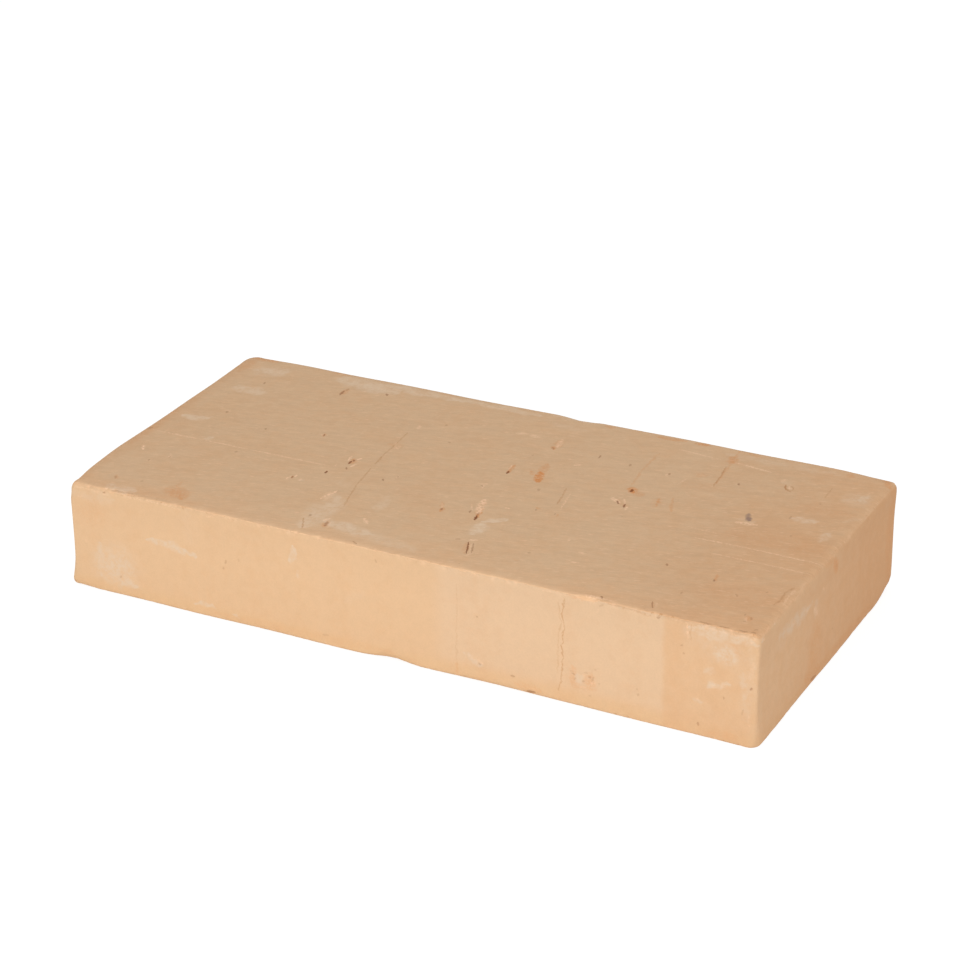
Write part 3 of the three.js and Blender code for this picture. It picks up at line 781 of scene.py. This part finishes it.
def mark_group():
    """How fully one mark, or any before it, covers a place: most at its middle, nothing at its edge.

    A mark is an ellipse, so the ways to its two foci add up to the same length all round its edge.
    """
    tree = bpy.data.node_groups.new("mark", "ShaderNodeTree")
    for name in ("Place", "First Focus", "Second Focus"):
        tree.interface.new_socket(name, in_out="INPUT", socket_type="NodeSocketVector")
    for name in ("Fall", "Start", "Before"):
        tree.interface.new_socket(name, in_out="INPUT", socket_type="NodeSocketFloat")
    tree.interface.new_socket("Cover", in_out="OUTPUT", socket_type="NodeSocketFloat")
    bench = Bench(tree)
    given = bench.add("NodeGroupInput").outputs
    first = bench.vector("DISTANCE", given["Place"], given["First Focus"])
    second = bench.vector("DISTANCE", given["Place"], given["Second Focus"])
    cover = bench.math("MULTIPLY_ADD", bench.total(first, second), given["Fall"], given["Start"])
    bench.add("NodeGroupOutput", {0: bench.most(cover, given["Before"])})
    return tree


class Clay(Bench):
    """The clay's nodes: what all faces share, and a shader with its own marks for each face."""

    # The two ways in which each face with listed marks lies flat.
    FLAT = {
        "upper bed": (Vector((1, 0, 0)), Vector((0, 1, 0))),
        "front": (Vector((1, 0, 0)), Vector((0, 0, 1))),
        "right": (Vector((0, 1, 0)), Vector((0, 0, 1))),
    }

    def __init__(self, tree, relief, colours):
        super().__init__(tree)
        self.relief = relief
        self.colours = {name: (*getattr(colours, name), 1.0) for name in colours.__annotations__}
        self.mark = mark_group()

        origin = self.add("ShaderNodeTexCoord").outputs["Object"]
        self.place = self.vector("SCALE", origin, scale=1 / MM)
        self.x, self.y, self.z = self.split(self.place)
        self.arris, self.crumb = self.kept("arris"), self.kept("crumb")

        # Places pushed about by noise, so that the marks have ragged outlines.
        self.fine = self.ragged(1.1, 1.1)
        self.middling = self.ragged(2.4, 2.6)
        self.coarse = self.ragged(7.0, 7.0)

        # Along the wire's path over a bed, and across it.
        turned = {"Vector": self.place, "Rotation": (0, 0, relief.cut_angle)}
        self.cut = self.add("ShaderNodeMapping", turned, vector_type="TEXTURE").outputs[0]

        self.grain = self.noise(self.place, 0.7, 2.0, 0.6, "Grain")
        self.mottle = self.noise(self.place, 3.0, 2.0, 0.6, "Mottle")
        self.tint = self.noise(self.place, 5.0, 3.0, 0.6, "Tint")
        self.breakup = self.fade(self.noise(self.place, 2.6, 3.0, 0.75), 0.3, 0.66, 0.2, 1.0)
        self.speckle = self.fade(self.noise(self.place, 0.9, 2.0, 0.6), 0.38, 0.6, 0.15, 1.0)
        self.pores = self.chance_spots(self.fine, 9.0, 0.35, 0.8, "Pores")
        self.knocks = self.noise(self.place, 1.5, 3.0, 0.6, "Knocks")
        # Either end of the front arris, where it is more worn.
        self.ends = self.total(self.fade(self.x, -60.0, -115.0), self.fade(self.x, 45.0, 125.0))
        # Specks of painted shade, for the shadows of crumbs, along the arrises and thickest towards those
        # ends.
        end_shade = self.fade(self.ends, 0.0, 1.0, 0.3, 0.55)
        self.crumb_shade = self.product(self.arris, end_shade, self.fade(self.knocks, 0.4, 0.3))

    def kept(self, name):
        return self.add("ShaderNodeAttribute", attribute_name=name).outputs["Fac"]

    def centred(self, value):
        return self.math("SUBTRACT", value, 0.5)

    def ragged(self, size, reach):
        push = self.noise(self.place, size, 2.0, 0.6, colour=True)
        centred = self.vector("SUBTRACT", push, (0.5, 0.5, 0.5))
        return self.vector("ADD", self.place, self.vector("SCALE", centred, scale=reach))

    def chance_spots(self, place, cell, share, radius, label):
        """Round spots in a share of the cells of a loose grid: 1 at the middle, 0 at the edge."""
        inputs = {"Vector": place, "Scale": 1 / cell}
        cells = self.add("ShaderNodeTexVoronoi", inputs, label, feature="F1").outputs
        size = self.fade(self.split(cells["Color"])[0], 1 - share, 1.0, 0.0001, radius / cell)
        return self.fade(self.math("DIVIDE", cells["Distance"], size), 1.1, 0.3)

    def cover(self, face, place, marks):
        """How fully the face's marks cover the place, from 0 to their strength."""
        first, second = self.FLAT[face]
        flat = self.vector("MULTIPLY", place, tuple(first + second))
        cover = 0.0
        for across, along, length, width, turn, strength in marks.get(face, ()):
            middle = first * across + second * along
            turn = math.radians(turn)
            if length < width:
                length, width, turn = width, length, turn + math.radians(90)
            reach = math.sqrt((length / 2) ** 2 - (width / 2) ** 2)
            focus = (first * math.cos(turn) + second * math.sin(turn)) * reach
            fall = strength / (length - 2 * reach)
            inputs = {
                "Place": flat, "First Focus": middle - focus, "Second Focus": middle + focus,
                "Fall": -fall, "Start": length * fall, "Before": cover,
            }
            cover = self.add("ShaderNodeGroup", inputs, face, node_tree=self.mark).outputs[0]
        return cover

    def along_cut(self, run, pitch, detail, label):
        """Noise drawn out along the wire's path over a bed."""
        path = self.vector("DIVIDE", self.cut, (run, pitch, pitch * 4))
        return self.noise(path, 1.0, detail, 0.55, label)

    def bed_body(self):
        """Colour and height of a cut bed without its marks."""
        relief = self.relief
        ripples = self.along_cut(relief.ripple_run / MM, relief.ripple_pitch / MM, 2.0, "Ripples")
        smears = self.along_cut(12.0, 2.6, 2.0, "Smears")
        patches = self.noise(self.place, 24.0, 3.0, 0.55, "Patches")
        drift = self.centred(patches)
        # Warmer towards the right end.
        right_end = self.fade(self.x, 62.0, 142.0, 0.0, 0.56)
        heat = self.total(
            0.1,
            self.product(right_end, self.fade(self.y, 0.0, 60.0, 1.0, 0.72)),
            self.fade(self.y, -54.0, -68.0, 0.0, 0.2),
            self.fade(self.x, -136.0, -145.0, 0.0, 0.45),
            self.product(drift, 0.7),
        )
        paleness = self.total(0.25, self.product(drift, -0.5))
        # A painted highlight on the bed where it rounds over into the front arris, which faces the front
        # lamp; faint at the arris's ends.
        arris_highlight = self.fade(self.y, -66.5, -70.0, 0.0, 0.1)
        shade = self.total(
            self.fade(ripples, 0.3, 0.7, -0.02, 0.02),
            self.fade(smears, 0.3, 0.7, -0.017, 0.017),
            self.fade(self.y, -52.0, -68.0, 0.0, 0.05),
            self.product(arris_highlight, self.fade(self.ends, 0.0, 1.0, 1.0, 0.05)),
            # Brighter towards the back: painted light that evens out the front lamp, which lights the front
            # of the bed more.
            self.fade(self.y, -10.0, 60.0, 0.008, 0.022),
            self.fade(self.x, 96.0, 136.0, 0.0, 0.035),
            self.fade(patches, 0.3, 0.7, -0.01, 0.01),
        )
        return self.tinted(paleness, heat, shade), self.product(ripples, 0.05)

    def wall_body(self, heat, pale_band=0.0, gold=0.0, light=0.0):
        """Colour and height of a wall without its marks."""
        drawn = self.vector("MULTIPLY", self.place, (1, 1, 0.02))
        bands = self.noise(drawn, self.relief.band_pitch / MM, 2.0, 0.5, "Bands")
        drift = self.centred(bands)
        # Warmer at the foot, and darker towards the upper arris: painted shade that evens out the lamps,
        # which light the top of a wall more than its foot.
        foot = self.fade(self.z, 8.0, 2.0)
        gold = self.total(gold, self.product(foot, 0.3))
        heat = self.total(heat, self.product(foot, 0.06), self.product(drift, 0.4))
        paleness = self.total(pale_band, self.product(drift, -0.4))
        shade = self.total(self.fade(self.z, 26.0, 44.0, 0.0, -0.035), light)
        return self.tinted(paleness, heat, shade, gold), self.product(bands, 0.05)

    def tinted(self, paleness, heat, shade, gold=0.0):
        """The body colour, paler, warmer, yellower or brighter by these."""
        heat = self.total(heat, self.fade(self.tint, 0.3, 0.7, -0.12, 0.12))
        body = self.mix(gold, self.colours["clay"], self.colours["gold"])
        body = self.mix(paleness, body, self.colours["cream"])
        body = self.mix(heat, body, self.colours["warm"])
        light = self.total(
            1.0,
            shade,
            self.fade(self.grain, 0.25, 0.75, -0.021, 0.021),
            self.fade(self.mottle, 0.25, 0.75, -0.014, 0.014),
        )
        return self.vector("SCALE", body, scale=light)

    def shader(self, body, form, dust, bloom, stain, pale, pit_shade, burrs=0.0, groove_shade=0.0, slag=0.0):
        """A matt shader of this body colour and form, in millimetres, under its marks."""
        softly = self.fade(bloom, 0.0, 1.3, 0.0, 0.85)
        stain = self.product(stain, self.fade(self.speckle, 0.15, 0.8, 0.35, 1.0))
        pale = self.most(self.product(pale, self.speckle), self.product(self.crumb, 0.35), burrs)
        groove_shade = self.product(groove_shade, self.fade(self.speckle, 0.15, 1.0, 0.5, 1.0))
        body = self.mix(self.product(softly, self.breakup), body, self.colours[dust])
        # Over the bloom go stains, pale clay, the painted shade of grooves and crumbs, slag, and the painted
        # shade of pits.
        for share, colour in (
            (stain, "stain"),
            (pale, "broken"),
            (self.most(groove_shade, self.crumb_shade), "groove_shade"),
            (slag, "slag"),
            (pit_shade, "pit_shade"),
        ):
            body = self.mix(share, body, self.colours[colour])
        height = self.total(
            form,
            self.product(self.grain, 0.025),
            self.product(self.mottle, 0.03),
            self.product(self.arris, self.arris, self.centred(self.knocks), 0.6),
            self.product(pit_shade, -0.22),
            self.product(groove_shade, -0.05),
        )
        inputs = {"Strength": 1.0, "Distance": MM, "Height": height}
        inputs = {
            "Base Color": body,
            "Roughness": self.fade(self.mottle, 0.2, 0.8, 0.86, 0.96),
            "Specular IOR Level": 0.25,
            "Normal": self.add("ShaderNodeBump", inputs).outputs[0],
        }
        return self.add("ShaderNodeBsdfPrincipled", inputs).outputs[0]

    def listed_face(self, face, body, form, burrs=0.0):
        """A shader with the listed marks of this face."""
        # The crack in the front wavers more than the furrows that the wire drew.
        wavering = self.middling if face == "front" else self.fine
        pits = self.cover(face, self.fine, PITS)
        return self.shader(
            body,
            form,
            "bloom" if face == "upper bed" else "film",
            bloom=self.cover(face, self.coarse, BLOOMS),
            stain=self.cover(face, self.middling, STAINS),
            pale=self.cover(face, self.fine, PALE_MARKS),
            pit_shade=self.most(pits, self.product(self.pores, 0.25)),
            burrs=burrs,
            groove_shade=self.cover(face, wavering, FURROWS),
            slag=self.cover(face, self.fine, SLAG),
        )

    def unlisted_faces(self, bed):
        """A shader for the underside, the back and the left end, whose marks fall by chance."""
        bed_body, bed_form = self.bed_body()
        wall_body, wall_form = self.wall_body(0.3)
        dragged = self.vector("MULTIPLY", self.fine, (1.0, 0.45, 0.7))
        clouds = self.noise(self.place, 17.0, 3.0, 0.55, "Clouds")
        bled = self.chance_spots(dragged, 46.0, 0.6, 4.5, "Bled spots")
        torn = self.chance_spots(dragged, 34.0, 0.6, 1.7, "Torn holes")
        return self.shader(
            self.mix(bed, wall_body, bed_body),
            self.lerp(bed, wall_form, bed_form),
            "film",
            bloom=self.fade(clouds, 0.56, 0.72, 0.0, 0.45),
            stain=self.product(bled, 0.6),
            pale=0.0,
            pit_shade=self.most(self.product(self.pores, 0.8), torn),
        )

    def surface(self):
        """The shader of each face, chosen by the attributes that the mesh keeps."""
        # The right end grows warmer to the back, and the front beyond its pale band.
        backward = self.fade(self.y, -75.0, 75.0, 0.36, 1.0)
        band = self.product(
            self.fade(self.x, 15.0, 23.0), self.fade(self.x, 110.0, 107.0), self.fade(self.z, 5.0, 10.0)
        )
        beyond = self.fade(self.x, 107.0, 110.0, 0.0, 0.32)
        gold = self.fade(self.x, 24.0, 12.0, 0.0, 0.1)
        # Painted shade along the top of the front, under its arris, strongest at the worn ends, where a
        # rounder arris would shade the wall.
        worn_arris_shade = self.product(
            self.fade(self.z, 43.4, 45.2, 0.0, -0.075), self.fade(self.ends, 0.0, 1.0, 0.12, 1.0)
        )
        dashes = self.fade(self.along_cut(3.4, 0.8, 1.0, "Dashes"), 0.6, 0.78, 0.0, 0.32)
        faces = {
            # The right end gets painted light in place of a stronger side lamp.
            "right": self.listed_face("right", *self.wall_body(backward, light=0.035)),
            "front": self.listed_face("front", *self.wall_body(beyond, band, gold, worn_arris_shade)),
            "upper bed": self.listed_face("upper bed", *self.bed_body(), dashes),
        }
        surface = self.unlisted_faces(self.kept("bed"))
        for face, shader in faces.items():
            surface = self.choose(self.kept(face), surface, shader, face)
        return surface


def fired_clay(relief, colours):
    """Matt straw-buff clay: fine ripples on the beds, upright bands on the walls, and the marks."""
    material = bpy.data.materials.new("straw_clay")
    clay = Clay(emptied(material), relief, colours)
    clay.add("ShaderNodeOutputMaterial", {"Surface": clay.surface()})
    return material


# ---------------------------------------------------------------- operators

FLOOR_REACH = 8.0  # from the brick to each edge of the floor
SENSOR_WIDTH = 36  # of a full-frame camera, in millimetres


class BRICK_OT_body(bpy.types.Operator):
    """Wrap a fine skin on the brick's solid, press the relief into it and give it the clay"""

    bl_idname = "brick.body"
    bl_label = "Fired Brick"

    def execute(self, context):
        relief = context.scene.brick_relief
        inputs = {titled(name): getattr(relief, name) for name in RELIEF_SIZES}
        inputs["Solid"] = SOLID
        inputs["Seed"] = relief.seed
        inputs["Material"] = fired_clay(relief, context.scene.brick_clay)
        piece = run_tree("fired_brick", box_skin("brick_skin", relief), relief_tree(), inputs)
        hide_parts("brick")
        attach(piece, "root")
        return {"FINISHED"}


def seen_by_eye(bench):
    """1 where the eye sees a thing, straight or in a gloss or through a glass."""
    path = bench.add("ShaderNodeLightPath").outputs
    return bench.most(path["Is Camera Ray"], path["Is Glossy Ray"], path["Is Transmission Ray"])


def floor_material():
    """A white floor: its own light carries most of the white, and the rest keeps the shadow."""
    material = bpy.data.materials.new("studio_floor")
    bench = Bench(emptied(material))
    paper = bench.add("ShaderNodeBsdfDiffuse", {"Color": (0.8, 0.8, 0.8, 1)})
    thin = bench.add("ShaderNodeBsdfDiffuse", {"Color": (0.3, 0.3, 0.3, 1)})
    glow = bench.add("ShaderNodeEmission", {"Strength": 0.84})
    both = bench.add("ShaderNodeAddShader", {0: thin.outputs[0], 1: glow.outputs[0]})
    surface = bench.choose(seen_by_eye(bench), paper.outputs[0], both.outputs[0])
    bench.add("ShaderNodeOutputMaterial", {"Surface": surface})
    return material


def soft_box(name, direction, distance, size, power):
    """A square lamp at this direction and distance from the brick, facing it."""
    lamp = bpy.data.lights.new(name, "AREA")
    lamp.size = size
    lamp.energy = power
    holder = linked(name, lamp)
    aim = Vector(direction).normalized()
    holder.location = aim * distance
    holder.rotation_euler = aim.to_track_quat("Z", "Y").to_euler()


class BRICK_OT_stage(bpy.types.Operator):
    """Set the floor, the room's light, the soft boxes and the camera"""

    bl_idname = "brick.stage"
    bl_label = "Pale Studio"

    def execute(self, context):
        stage = context.scene.brick_stage
        corners = [(x * FLOOR_REACH, y * FLOOR_REACH, 0) for x, y in ((-1, -1), (1, -1), (1, 1), (-1, 1))]
        mesh = bpy.data.meshes.new("studio_floor")
        mesh.from_pydata(corners, [], [(0, 1, 2, 3)])
        mesh.materials.append(floor_material())
        floor = linked("studio_floor", mesh)

        world = bpy.data.worlds.new("studio")
        context.scene.world = world
        bench = Bench(emptied(world))
        strength = bench.lerp(seen_by_eye(bench), stage.room_light, 1.0)
        sky = bench.add("ShaderNodeBackground", {"Color": (1, 1, 1, 1), "Strength": strength})
        bench.add("ShaderNodeOutputWorld", {"Surface": sky.outputs[0]})

        soft_box("key_light", (-0.04, -0.94, 0.33), 0.8, 0.6, stage.key_power)
        soft_box("side_light", (0.92, -0.34, 0.25), 1.0, 0.8, stage.side_power)
        soft_box("back_light", (-0.75, 0.6, 0.35), 2.0, 1.2, stage.back_power)

        camera = bpy.data.cameras.new("camera")
        camera.sensor_width = SENSOR_WIDTH
        camera.lens = stage.focal_length
        camera.clip_end = 50
        holder = linked("camera", camera)
        level = math.cos(stage.elevation)
        back = Vector(
            (math.sin(stage.azimuth) * level, -math.cos(stage.azimuth) * level, math.sin(stage.elevation))
        )
        holder.location = Vector(stage.aim) + back * stage.distance
        upright = back.to_track_quat("Z", "Y").to_matrix()
        holder.rotation_euler = (upright @ Matrix.Rotation(stage.roll, 3, "Z")).to_euler()
        context.scene.camera = holder
        context.scene.view_settings.view_transform = "Standard"
        return {"FINISHED"}


class BRICK_PT_panel(bpy.types.Panel):
    """Lists the brick's steps and what can be changed in each"""

    bl_label = "Fired Clay Brick"
    bl_idname = "BRICK_PT_panel"
    bl_space_type = "VIEW_3D"
    bl_region_type = "UI"
    bl_category = "Brick"

    def draw(self, context):
        layout = self.layout
        scene = context.scene
        for operator, groups in (
            (BRICK_OT_body, (scene.brick_relief, scene.brick_clay)),
            (BRICK_OT_stage, (scene.brick_stage,)),
        ):
            layout.operator(operator.bl_idname)
            for group in groups:
                for name in group.__annotations__:
                    layout.prop(group, name)


CLASSES = (BrickRelief, BrickClay, BrickStage, BRICK_OT_body, BRICK_OT_stage, BRICK_PT_panel)


def register():
    for item in CLASSES:
        bpy.utils.register_class(item)
    bpy.types.Scene.brick_relief = PointerProperty(type=BrickRelief)
    bpy.types.Scene.brick_clay = PointerProperty(type=BrickClay)
    bpy.types.Scene.brick_stage = PointerProperty(type=BrickStage)


def unregister():
    del bpy.types.Scene.brick_stage
    del bpy.types.Scene.brick_clay
    del bpy.types.Scene.brick_relief
    for item in reversed(CLASSES):
        bpy.utils.unregister_class(item)


def main():
    register()
    bpy.ops.brick.stage()
    bpy.ops.brick.body()


if __name__ == "__main__":
    main()
